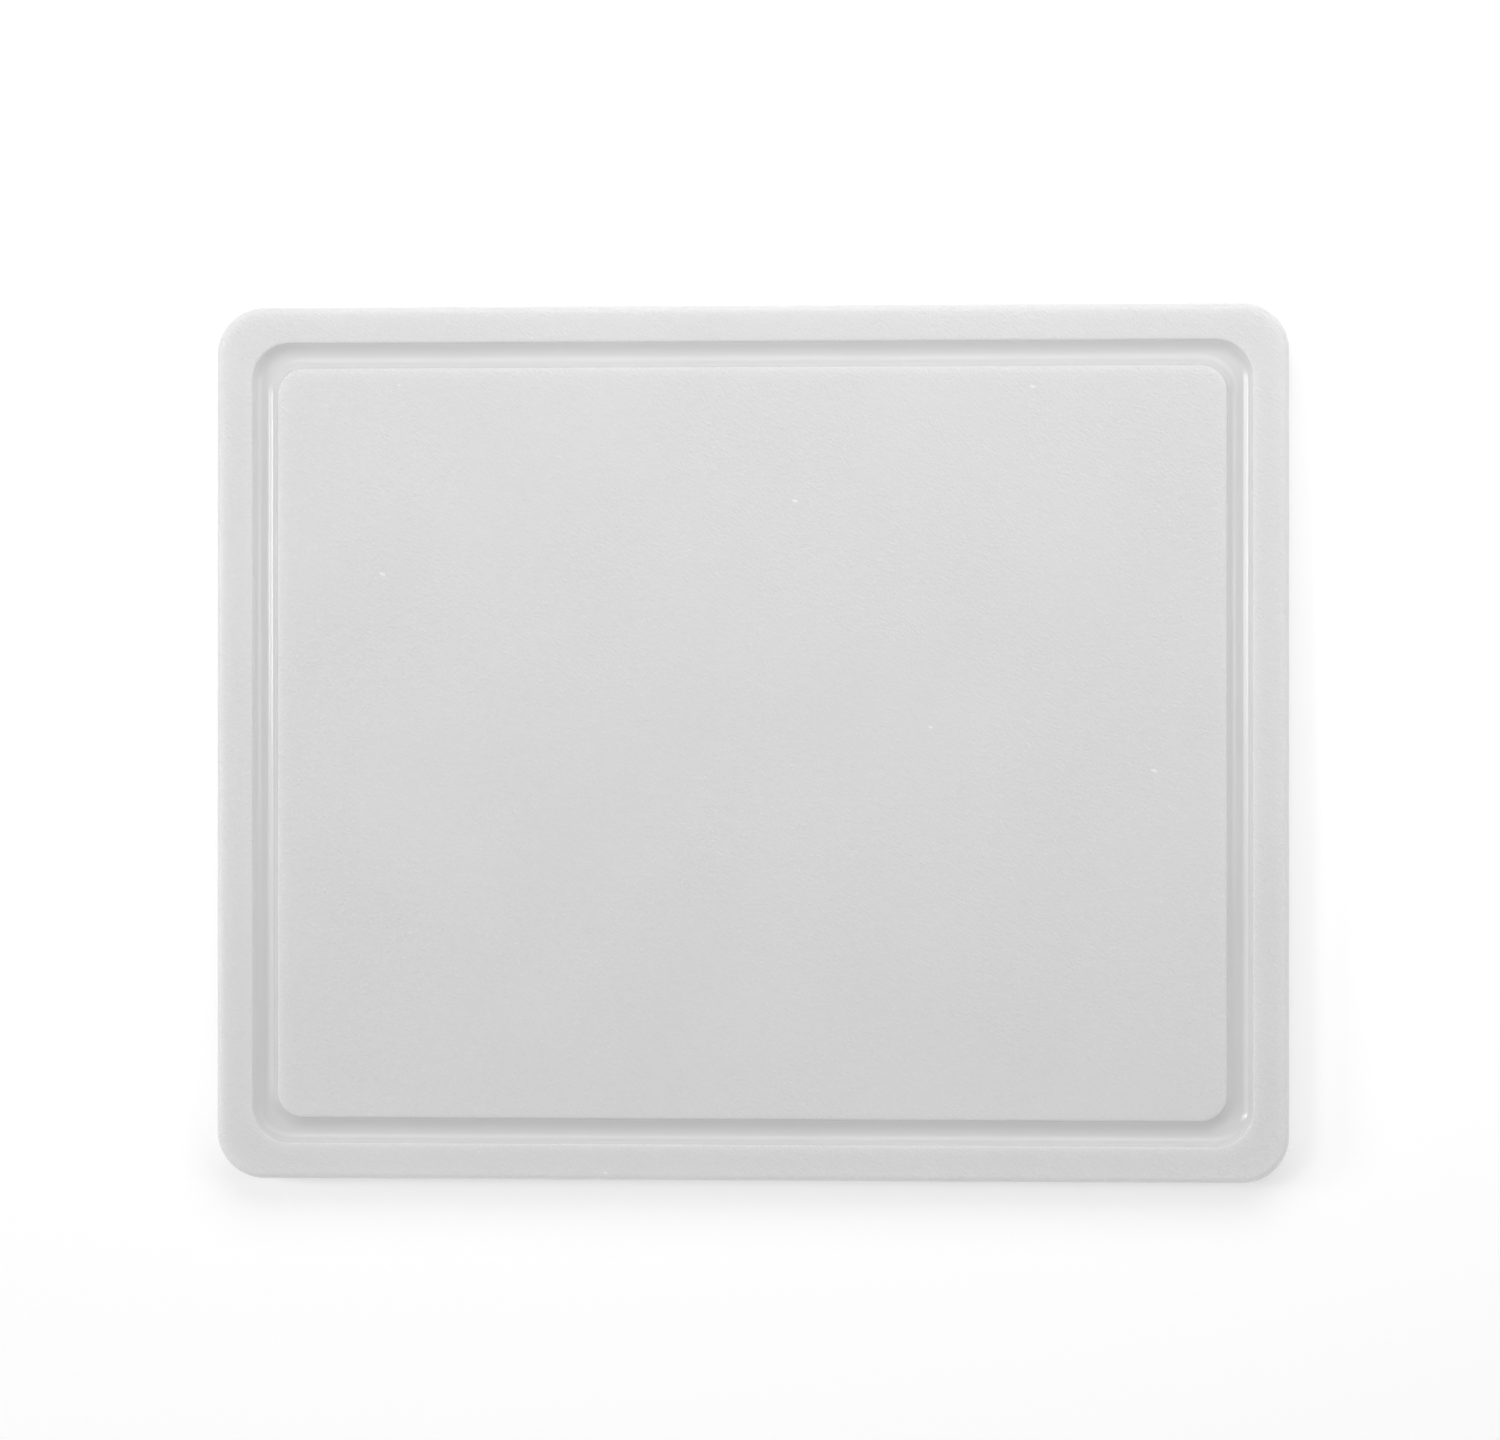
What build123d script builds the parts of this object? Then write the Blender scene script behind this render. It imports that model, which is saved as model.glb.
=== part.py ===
"""Polyethylene cutting board with a juice groove round its upper face.

The board is one solid slab of plastic, so there is one sub-part. It lies on its
underside: the origin is the middle of the underside, +X runs along the length, +Y
along the width and +Z out of the grooved face. Sizes are in millimetres.
"""

import math
import os

from build123d import *

# Slab
BOARD_LENGTH = 325.0  # length and width are those of the Gastronorm 1/2 size
BOARD_WIDTH = 265.0
BOARD_THICKNESS = 12.0
CORNER_RADIUS = 14.5  # of the outline, seen from above
EDGE_RADIUS = 2.0  # rounding round both faces

# Juice groove
RIM_WIDTH = 10.4  # flat rim, from the outline to the groove's outer crest
GROOVE_WIDTH = 9.0  # over both crests, from the flat rim to the flat panel
GROOVE_DEPTH = 3.0
WALL_ANGLE = 66.5  # degrees from the face, where a wall is steepest
CREST_RADIUS = 0.85  # rounding where a wall meets the face
FLOOR_LAND = 0.1  # narrow flat between the two floor fillets
OUTER_CREST_CORNER = 12.2  # corner radius of the rim's inner edge
PANEL_CORNER = 7.2  # corner radius of the cutting panel

# The groove is cut with straight walls and then rounded. A rounding of radius r
# takes r * tan(angle / 2) off each of the two faces that it joins.
rounding_share = math.tan(math.radians(WALL_ANGLE / 2))
crest_setback = CREST_RADIUS * rounding_share
wall_run = GROOVE_DEPTH / math.tan(math.radians(WALL_ANGLE))
wall_taper = 90 - WALL_ANGLE
mouth_width = GROOVE_WIDTH - 2 * crest_setback
floor_width = mouth_width - 2 * wall_run
floor_radius = (floor_width - FLOOR_LAND) / (2 * rounding_share)

# How far inside the board's outline the straight walls start, at the upper face
pocket_inset = RIM_WIDTH + crest_setback
panel_inset = pocket_inset + mouth_width

os.makedirs("parts", exist_ok=True)


def outline_inside(inset, corner_radius):
    """Rounded rectangle at the same distance from all four sides of the board."""
    return RectangleRounded(
        BOARD_LENGTH - 2 * inset,
        BOARD_WIDTH - 2 * inset,
        corner_radius,
    )


with BuildPart() as board:
    # Slab, with the edges of both faces rounded
    with BuildSketch(Plane.XY):
        outline_inside(0, CORNER_RADIUS)
    extrude(amount=BOARD_THICKNESS)
    fillet(board.faces().filter_by(Plane.XY).edges(), radius=EDGE_RADIUS)

    # Shallow pocket that reaches out to the groove's outer wall
    upper_face = Plane.XY.offset(BOARD_THICKNESS)
    with BuildSketch(upper_face):
        outline_inside(pocket_inset, OUTER_CREST_CORNER - crest_setback)
    extrude(amount=-GROOVE_DEPTH, taper=wall_taper, mode=Mode.SUBTRACT)

    # Cutting panel, which stands in the pocket level with the rim
    with BuildSketch(upper_face):
        outline_inside(panel_inset, PANEL_CORNER + crest_setback)
    extrude(amount=-GROOVE_DEPTH, taper=-wall_taper)

    # Floor of the groove rounded into its walls
    groove_floor = board.faces().filter_by(Plane.XY).group_by(Axis.Z)[1]
    fillet(groove_floor.edges(), radius=floor_radius)

    # Walls rounded into the rim and into the panel
    rim, panel = board.faces().filter_by(Plane.XY).group_by(Axis.Z)[-1].sort_by(SortBy.AREA)
    fillet(rim.inner_wires().edges() + panel.edges(), radius=CREST_RADIUS)

board.part.label = "board"
export_step(board.part, "parts/board.step")
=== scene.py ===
"""Looks of the plastic cutting board: its mesh, its plastic, the studio and the camera.

Everything is in metres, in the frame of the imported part: the board lies on its
underside at z = 0 with its length along X, and the grooved face is on top.
"""

import math

import bmesh
import bpy
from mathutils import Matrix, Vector, noise


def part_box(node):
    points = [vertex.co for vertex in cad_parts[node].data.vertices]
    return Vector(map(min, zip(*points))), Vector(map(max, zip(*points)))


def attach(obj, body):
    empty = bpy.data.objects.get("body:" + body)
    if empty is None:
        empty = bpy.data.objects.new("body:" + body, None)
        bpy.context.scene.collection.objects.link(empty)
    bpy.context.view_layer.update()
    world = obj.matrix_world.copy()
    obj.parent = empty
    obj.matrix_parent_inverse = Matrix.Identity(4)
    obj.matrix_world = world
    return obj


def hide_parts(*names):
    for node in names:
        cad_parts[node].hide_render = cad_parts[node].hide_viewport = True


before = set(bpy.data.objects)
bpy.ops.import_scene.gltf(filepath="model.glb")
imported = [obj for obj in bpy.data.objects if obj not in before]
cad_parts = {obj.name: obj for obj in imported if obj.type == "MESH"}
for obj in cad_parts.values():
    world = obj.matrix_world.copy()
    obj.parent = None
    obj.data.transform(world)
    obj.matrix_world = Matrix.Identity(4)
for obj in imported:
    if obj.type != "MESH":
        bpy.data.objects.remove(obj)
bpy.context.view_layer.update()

MM = 0.001

# ------------------------------------------------------------------ board: sizes
BOARD_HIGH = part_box("board")[1]  # highest corner, from the middle of the underside
HALF_LENGTH = BOARD_HIGH.x
HALF_WIDTH = BOARD_HIGH.y
TOP = BOARD_HIGH.z

CORNER_RADIUS = 14.5 * MM  # of the outline, seen from above
EDGE_RADIUS = 2.0 * MM  # rounding round both faces
RIM_WIDTH = 10.4 * MM
GROOVE_WIDTH = 9.0 * MM
GROOVE_DEPTH = 3.0 * MM
WALL_ANGLE = math.radians(66.5)  # from the face, where a wall is steepest
CREST_RADIUS = 0.85 * MM  # rounding where a wall meets the face
FLOOR_LAND = 0.1 * MM  # narrow flat between the two floor fillets
RIM_CORNER = 12.2 * MM  # corner radius of the rim's inner edge
PANEL_CORNER = 7.2 * MM  # corner radius of the cutting panel
GROOVE_END = RIM_WIDTH + GROOVE_WIDTH
GROOVE_MIDDLE = RIM_WIDTH + GROOVE_WIDTH / 2

# Faces along each stretch of the section
CREST_STEPS = 7
FLOOR_STEPS = 12
RIM_STEPS = 4
EDGE_STEPS = 10
SIDE_STEPS = 4
# Faces along the outline
CORNER_STEPS = 24
LENGTH_STEPS = 96
WIDTH_STEPS = 76
# Width of the narrow strips that keep a flat stretch flat up to its rounding
GUARD = 0.15 * MM

# Slow unevenness of a pressed slab
DIP = 0.05 * MM  # most that the upper face lies low
DIP_SIZE = 75 * MM
WANDER = 0.06 * MM  # most that the groove leaves its line
WANDER_SIZE = 26 * MM
WANDER_SEED = 1


# ------------------------------------------------------------------ board: mesh
def panel_side(inset, height):
    """Ring that follows the corners of the panel: (inset, corner radius, height)."""
    return inset, PANEL_CORNER + GROOVE_END - inset, height


def rim_side(inset, height):
    """Ring that follows the corners of the rim's inner edge."""
    return inset, RIM_CORNER + RIM_WIDTH - inset, height


def side_ring(inset, height):
    """Ring that follows the corners of the outline."""
    return inset, CORNER_RADIUS - inset, height


def groove_rings():
    """Rings over the groove, from the panel's edge out to the rim's inner edge."""
    share = math.tan(WALL_ANGLE / 2)
    wall_run = GROOVE_DEPTH / math.tan(WALL_ANGLE)
    floor_width = GROOVE_WIDTH - 2 * CREST_RADIUS * share - 2 * wall_run
    floor_radius = (floor_width - FLOOR_LAND) / (2 * share)

    crest = []  # (distance in from the flat, height)
    for k in range(CREST_STEPS + 1):
        turn = WALL_ANGLE * k / CREST_STEPS
        drop = CREST_RADIUS * (1 - math.cos(turn))
        crest.append((CREST_RADIUS * math.sin(turn), TOP - drop))
    floor = []  # (distance from the groove's middle, height)
    for k in range(FLOOR_STEPS + 1):
        turn = WALL_ANGLE * k / FLOOR_STEPS
        rise = floor_radius * (1 - math.cos(turn))
        run = FLOOR_LAND / 2 + floor_radius * math.sin(turn)
        floor.append((run, TOP - GROOVE_DEPTH + rise))

    rings = [panel_side(GROOVE_END - run, height) for run, height in crest]
    rings += [panel_side(GROOVE_MIDDLE + run, height) for run, height in reversed(floor)]
    rings += [rim_side(GROOVE_MIDDLE - run, height) for run, height in floor]
    rings += [rim_side(RIM_WIDTH + run, height) for run, height in reversed(crest)]
    return rings


def between(start, end, steps):
    """Values strictly between two flats' ends, with one a guard's width from each end."""
    guard = math.copysign(GUARD, end - start)
    inner = [start + (end - start) * k / steps for k in range(1, steps)]
    return [start + guard] + inner + [end - guard]


def rim_rings():
    """Rings over the flat rim, whose two edges have corners of their own."""
    rings = []
    for inset in between(RIM_WIDTH, EDGE_RADIUS, RIM_STEPS):
        part = (RIM_WIDTH - inset) / (RIM_WIDTH - EDGE_RADIUS)
        corner = RIM_CORNER + (CORNER_RADIUS - EDGE_RADIUS - RIM_CORNER) * part
        rings.append((inset, corner, TOP))
    return rings


def edge_rings():
    """Rings down the upper rounding, the side and the lower rounding."""
    rounding = []  # (distance in from the side, distance from the face)
    for k in range(EDGE_STEPS + 1):
        turn = math.pi / 2 * k / EDGE_STEPS
        inset = EDGE_RADIUS * (1 - math.sin(turn))
        rounding.append((inset, EDGE_RADIUS * (1 - math.cos(turn))))

    rings = [side_ring(inset, TOP - drop) for inset, drop in rounding]
    rings += [side_ring(0.0, z) for z in between(TOP - EDGE_RADIUS, EDGE_RADIUS, SIDE_STEPS)]
    rings += [side_ring(inset, drop) for inset, drop in reversed(rounding)]
    return rings


def ring_points(inset, corner):
    """Points round a rounded rectangle, anticlockwise from the end of its right side:
    a corner and then a straight run, four times."""
    x = HALF_LENGTH - inset - corner
    y = HALF_WIDTH - inset - corner
    centres = [Vector((x, y)), Vector((-x, y)), Vector((-x, -y)), Vector((x, -y))]
    run_steps = [LENGTH_STEPS, WIDTH_STEPS, LENGTH_STEPS, WIDTH_STEPS]
    points = []
    for n, centre in enumerate(centres):
        for k in range(CORNER_STEPS + 1):
            turn = math.pi / 2 * (n + k / CORNER_STEPS)
            out = corner * Vector((math.cos(turn), math.sin(turn)))
            points.append(centre + out)
        end = centres[(n + 1) % 4] + out
        for k in range(1, run_steps[n]):
            points.append((centre + out).lerp(end, k / run_steps[n]))
    return points


def fill_face(mesh, ring):
    """Fills a ring with a grid whose corners are in the middle of the ring's corners."""
    middle = CORNER_STEPS // 2
    edges = []
    for start in (middle, middle + 2 * CORNER_STEPS + LENGTH_STEPS + WIDTH_STEPS):
        for k in range(start, start + CORNER_STEPS + LENGTH_STEPS):
            a = ring[k]
            b = ring[(k + 1) % len(ring)]
            edges.append(mesh.edges.get((a, b)))
    bmesh.ops.grid_fill(mesh, edges=edges, use_interp_simple=True)


def settle(mesh):
    """Gives the upper face slow dips, and lets the groove wander a little sideways.
    The outline keeps its place, and the underside stays flat."""
    noise.seed_set(WANDER_SEED)
    for vertex in mesh.verts:
        x, y, z = vertex.co
        edge = min(HALF_LENGTH - abs(x), HALF_WIDTH - abs(y))
        hold = min(max((edge - EDGE_RADIUS) / (RIM_WIDTH - EDGE_RADIUS), 0.0), 1.0)
        here = Vector((x, y, 0.0))
        sway = noise.noise_vector(here / WANDER_SIZE)
        dip = 0.5 + 0.5 * noise.noise(here / DIP_SIZE)
        above = z / TOP
        vertex.co.x += WANDER * hold * above * sway.x
        vertex.co.y += WANDER * hold * above * sway.y
        vertex.co.z -= DIP * above * dip


def make_board():
    """The whole slab as one closed skin of rings, with a grid over each flat face."""
    mesh = bmesh.new()
    rings = []
    for inset, corner, height in groove_rings() + rim_rings() + edge_rings():
        points = ring_points(inset, corner)
        rings.append([mesh.verts.new((p.x, p.y, height)) for p in points])
    for inner, outer in zip(rings, rings[1:]):
        for k in range(len(inner)):
            after = (k + 1) % len(inner)
            mesh.faces.new((inner[k], outer[k], outer[after], inner[after]))
    fill_face(mesh, rings[0])
    fill_face(mesh, rings[-1])
    bmesh.ops.recalc_face_normals(mesh, faces=mesh.faces)
    settle(mesh)
    for face in mesh.faces:
        face.smooth = True

    data = bpy.data.meshes.new("board_slab")
    mesh.to_mesh(data)
    mesh.free()
    board = bpy.data.objects.new("board_slab", data)
    bpy.context.scene.collection.objects.link(board)
    return board


# ------------------------------------------------------------------ materials
class Nodes:
    """Short ways to add nodes to one material."""

    def __init__(self, name):
        self.material = bpy.data.materials.new(name)
        self.material.use_nodes = True
        self.tree = self.material.node_tree
        self.shader = self.tree.nodes["Principled BSDF"]

    def add(self, kind, inputs, **settings):
        node = self.tree.nodes.new("ShaderNode" + kind)
        for name, value in settings.items():
            setattr(node, name, value)
        for name, value in inputs.items():
            if isinstance(value, bpy.types.NodeSocket):
                self.tree.links.new(value, node.inputs[name])
            else:
                node.inputs[name].default_value = value
        return node

    def math(self, operation, a, b):
        return self.add("Math", {0: a, 1: b}, operation=operation).outputs[0]

    def ramp(self, value, start, end, low=0.0, high=1.0):
        """Smooth step of a value: low at start and high at end."""
        inputs = {"Value": value, "From Min": start, "From Max": end}
        inputs |= {"To Min": low, "To Max": high}
        node = self.add("MapRange", inputs, interpolation_type="SMOOTHSTEP")
        return node.outputs["Result"]

    def scaled(self, place, size, stretch=(1, 1, 1), turn=0.0):
        """Coordinates in units of a size, with a turn about Z and then a stretch."""
        turned = self.add(
            "VectorRotate", {"Vector": place, "Angle": turn}, rotation_type="Z_AXIS"
        ).outputs[0]
        factors = [1 / (size * s) for s in stretch]
        inputs = {0: turned, 1: factors}
        return self.add("VectorMath", inputs, operation="MULTIPLY").outputs[0]

    def noise(self, place, detail=0.0):
        """Smooth noise from 0 to 1, most of it between 0.3 and 0.7."""
        inputs = {"Vector": place, "Scale": 1.0, "Detail": detail}
        return self.add("TexNoise", inputs).outputs["Fac"]

    def cells(self, place, feature="F1", dimensions="3D", **inputs):
        given = {"Vector": place, "Scale": 1.0} | inputs
        return self.add("TexVoronoi", given, feature=feature, voronoi_dimensions=dimensions)

    def bump(self, height, depth, normal=None):
        inputs = {"Height": height, "Distance": depth, "Strength": 1.0}
        if normal:
            inputs["Normal"] = normal
        return self.add("Bump", inputs).outputs[0]

    def set(self, **inputs):
        """Sets the shader's sockets. Underscores stand for spaces."""
        for name, value in inputs.items():
            socket = self.shader.inputs[name.replace("_", " ")]
            if isinstance(value, bpy.types.NodeSocket):
                self.tree.links.new(value, socket)
            else:
                socket.default_value = value


# White high-density polyethylene
PLASTIC_WHITE = 0.80
PLASTIC_SPREAD = 0.012  # how far the white varies over the slab
CLOUD_SIZE = 45 * MM  # of the patches in which it varies
SCATTER_LENGTH = 5.0 * MM
PLASTIC_IOR = 1.54
FACE_ROUGHNESS = 0.33
GROOVE_ROUGHNESS = 0.15
SMEAR_ROUGHNESS = 0.03  # most that use adds to or takes off the roughness
SMEAR_SIZE = 18 * MM

# Grain pressed into both faces: short dashes that run down to the right, from above
GRAIN_SIZE = 0.72 * MM
GRAIN_DEPTH = 0.25 * MM
GRAIN_TURN = math.radians(45)
GRAIN_STRETCH = (1.4, 1, 1)
GRAIN_SOFTNESS = 0.6  # how rounded its cells are
CELL_SHARE = 0.5  # how high the cells stand beside the finer noise
FINE_SIZE = 0.9 * GRAIN_SIZE  # of that noise
PATCH_SIZE = 60 * MM  # of the patches in which the grain is shallower or deeper
PATCH_DEPTHS = (0.75, 1.15)  # in shares of its depth
FADE_START = 0.22 * MM  # below a face, where the grain begins to fade
FADE_END = 0.55 * MM
RIPPLE_SIZE = 8 * MM
RIPPLE_DEPTH = 0.02 * MM

# Fine upright marks that the cutter leaves on the sides
MARK_SIZE = 0.6 * MM
MARK_STRETCH = (1, 1, 30)
MARK_DEPTH = 0.06 * MM
SIDE_LEAN = 0.1  # upward part of the normal below which a surface is a side
GROOVE_LEAN = 0.35  # a little less than the groove's steepest wall has

# Sparse pale scuffs where the face is nicked
SCUFF_CELL = 30 * MM
SCUFF_RADIUS = 0.6 * MM
SCUFF_TURN = math.radians(15)
SCUFF_STRETCH = (2.0, 1, 1)
SCUFF_SHARE = 0.4  # of the cells hold one
SCUFF_BLUR = 0.008  # width of its soft edge, in shares of a cell
SCUFF_WHITE = 0.15  # added to the plastic's white


def plastic():
    """Slightly translucent plastic: grained on its faces, glossier in the groove."""
    n = Nodes("board_plastic")
    place = n.add("TexCoord", {}).outputs["Object"]
    height = n.add("SeparateXYZ", {"Vector": place}).outputs["Z"]
    upper = n.ramp(height, TOP - FADE_END, TOP - FADE_START)
    lower = n.ramp(height, FADE_END, FADE_START)
    face = n.math("MAXIMUM", upper, lower)

    # Grain: rounded cells, longer one way, broken up by a finer noise
    grain_place = n.scaled(place, GRAIN_SIZE, GRAIN_STRETCH, GRAIN_TURN)
    cell = n.cells(grain_place, "SMOOTH_F1", Smoothness=GRAIN_SOFTNESS).outputs["Distance"]
    fine = n.noise(n.scaled(place, FINE_SIZE, GRAIN_STRETCH, GRAIN_TURN), detail=1.0)
    grain = n.math("ADD", n.math("MULTIPLY", cell, CELL_SHARE), fine)
    patch = n.ramp(n.noise(n.scaled(place, PATCH_SIZE)), 0.3, 0.7, *PATCH_DEPTHS)
    grain = n.math("MULTIPLY", grain, n.math("MULTIPLY", face, patch))
    ripple = n.noise(n.scaled(place, RIPPLE_SIZE), detail=1.0)

    # Cutter marks, on what is steeper than the groove's walls
    normal = n.add("NewGeometry", {}).outputs["Normal"]
    lean = n.math("ABSOLUTE", n.add("SeparateXYZ", {"Vector": normal}).outputs["Z"], 0.0)
    side = n.ramp(lean, GROOVE_LEAN, SIDE_LEAN)
    marks = n.noise(n.scaled(place, MARK_SIZE, MARK_STRETCH), detail=1.0)
    marks = n.math("MULTIPLY", marks, side)

    # Scuffs: one spot in some of the cells of a wide pattern
    scuff_place = n.scaled(place, SCUFF_CELL, SCUFF_STRETCH, SCUFF_TURN)
    scuff_cell = n.cells(scuff_place, dimensions="2D")
    chance = n.add("SeparateXYZ", {"Vector": scuff_cell.outputs["Color"]}).outputs["X"]
    radius = n.ramp(chance, 1 - SCUFF_SHARE, 1.0, 0.0, SCUFF_RADIUS / SCUFF_CELL)
    inside = n.math("SUBTRACT", radius, scuff_cell.outputs["Distance"])
    scuff = n.math("MULTIPLY", n.ramp(inside, 0.0, SCUFF_BLUR), face)

    # Colour
    cloud = n.noise(n.scaled(place, CLOUD_SIZE), detail=2.0)
    white = n.ramp(cloud, 0.25, 0.75, PLASTIC_WHITE - PLASTIC_SPREAD, PLASTIC_WHITE)
    white = n.math("ADD", white, n.math("MULTIPLY", scuff, SCUFF_WHITE))
    colour = n.add("CombineColor", {"Red": white, "Green": white, "Blue": white})

    # Gloss
    smear = n.noise(n.scaled(place, SMEAR_SIZE), detail=2.0)
    smear = n.ramp(smear, 0.3, 0.7, -SMEAR_ROUGHNESS, SMEAR_ROUGHNESS)
    satin = n.math("MAXIMUM", face, side)
    rough = n.ramp(satin, 0.0, 1.0, GROOVE_ROUGHNESS, FACE_ROUGHNESS)
    rough = n.math("ADD", rough, smear)

    relief = n.bump(ripple, RIPPLE_DEPTH)
    relief = n.bump(grain, GRAIN_DEPTH, relief)
    relief = n.bump(marks, MARK_DEPTH, relief)
    n.set(
        Base_Color=colour.outputs[0],
        Roughness=rough,
        Normal=relief,
        IOR=PLASTIC_IOR,
        Subsurface_Weight=1.0,
        Subsurface_Radius=(1.0, 1.0, 1.0),
        Subsurface_Scale=SCATTER_LENGTH,
        Subsurface_Anisotropy=0.0,
    )
    return n.material


# Floor paper
PAPER_WHITE = 0.92
PAPER_SPREAD = 0.005
PAPER_ROUGHNESS = 0.9
FIBRE_SIZE = 2 * MM
FLOOR_GLOW = 0.25  # light that it gives off itself


def floor_paper():
    """Pale studio paper, lit a little from below so that it stays white round the board."""
    n = Nodes("floor_paper")
    place = n.add("TexCoord", {}).outputs["Object"]
    fibre = n.noise(n.scaled(place, FIBRE_SIZE), detail=3.0)
    tone = n.ramp(fibre, 0.2, 0.8, PAPER_WHITE - PAPER_SPREAD, PAPER_WHITE + PAPER_SPREAD)
    colour = n.add("CombineColor", {"Red": tone, "Green": tone, "Blue": tone})
    n.set(
        Base_Color=colour.outputs[0],
        Roughness=PAPER_ROUGHNESS,
        Specular_IOR_Level=0.0,
        Emission_Color=(1.0, 1.0, 1.0, 1.0),
        Emission_Strength=FLOOR_GLOW,
    )
    return n.material


# ------------------------------------------------------------------ studio
FLOOR_HALF = 6.0
FLOOR_GAP = 0.02 * MM  # below the board, so that the two don't share a plane
AMBIENT = 0.45
POWER_OF_RADIANCE = 4.0  # watts for each square metre of a light with radiance 1

# Light over the board's far side: place, width, height and radiance
KEY_LIGHT = ((0.10, 0.42, 0.50), 0.90, 0.45, 1.20)
# Lights at the sides, which draw the bright lines along the groove and the edge:
# side, elevation in degrees, middle along Y, length, height and radiance
SIDE_DISTANCE = 2.2
SIDE_LIGHTS = {
    "left_high": (-1, 53.0, 0.18, 0.36, 0.55, 5.5),
    "left_low": (-1, 28.5, 0.18, 0.36, 0.55, 7.0),
    "left_high_dim": (-1, 53.0, -0.18, 0.36, 0.55, 1.4),
    "left_low_dim": (-1, 28.5, -0.18, 0.36, 0.55, 1.8),
    "right": (1, 39.5, 0.10, 0.40, 1.10, 1.4),
}


def make_floor():
    """Square of paper in the middle of which the board lies."""
    corners = [(-1, -1), (1, -1), (1, 1), (-1, 1)]
    data = bpy.data.meshes.new("floor")
    points = [(x * FLOOR_HALF, y * FLOOR_HALF, -FLOOR_GAP) for x, y in corners]
    data.from_pydata(points, [], [(0, 1, 2, 3)])
    data.materials.append(floor_paper())
    floor = bpy.data.objects.new("floor", data)
    bpy.context.scene.collection.objects.link(floor)


def softbox(name, place, width, height, radiance, aim=Vector()):
    """Rectangular light that faces aim, with its width level."""
    light = bpy.data.lights.new(name, "AREA")
    light.shape = "RECTANGLE"
    light.size = width
    light.size_y = height
    light.energy = POWER_OF_RADIANCE * width * height * radiance
    lamp = bpy.data.objects.new(name, light)
    lamp.location = place
    lamp.rotation_euler = (aim - Vector(place)).to_track_quat("-Z", "Y").to_euler()
    lamp.visible_camera = False
    bpy.context.scene.collection.objects.link(lamp)


def make_lights():
    """The key light, the lights at the sides and an even white all round."""
    softbox("key", *KEY_LIGHT)
    for name, (side, elevation, y, length, height, radiance) in SIDE_LIGHTS.items():
        turn = math.radians(elevation)
        out = SIDE_DISTANCE * math.cos(turn)
        place = (side * out, y, SIDE_DISTANCE * math.sin(turn))
        softbox(name, place, length, height, radiance, Vector((0.0, y, 0.0)))

    world = bpy.data.worlds.new("studio")
    world.use_nodes = True
    background = world.node_tree.nodes["Background"]
    background.inputs["Color"].default_value = (1.0, 1.0, 1.0, 1.0)
    background.inputs["Strength"].default_value = AMBIENT
    bpy.context.scene.world = world


# ------------------------------------------------------------------ camera
CAMERA_DISTANCE = 1500 * MM
CAMERA_LENS = 119.1  # mm
CAMERA_SENSOR = 36.0  # mm wide
CAMERA_NEAR = 0.05  # distances that it sees between
CAMERA_FAR = 50.0
CAMERA_YAW = math.radians(3.41)  # off the vertical, towards +X
CAMERA_AIM = Vector((0.1 * MM, 6.95 * MM, TOP))


def make_camera():
    """Looks almost straight down, with +Y up in the picture."""
    data = bpy.data.cameras.new("camera")
    data.lens = CAMERA_LENS
    data.sensor_width = CAMERA_SENSOR
    data.clip_start = CAMERA_NEAR
    data.clip_end = CAMERA_FAR
    camera = bpy.data.objects.new("camera", data)
    back = Vector((math.sin(CAMERA_YAW), 0.0, math.cos(CAMERA_YAW)))
    camera.location = CAMERA_AIM + CAMERA_DISTANCE * back
    camera.rotation_euler = (0.0, CAMERA_YAW, 0.0)
    bpy.context.scene.collection.objects.link(camera)
    bpy.context.scene.camera = camera


# ------------------------------------------------------------------ scene
board = make_board()
board.data.materials.append(plastic())
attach(board, "root")
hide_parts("board")

make_floor()
make_lights()
make_camera()
bpy.context.scene.view_settings.view_transform = "Standard"
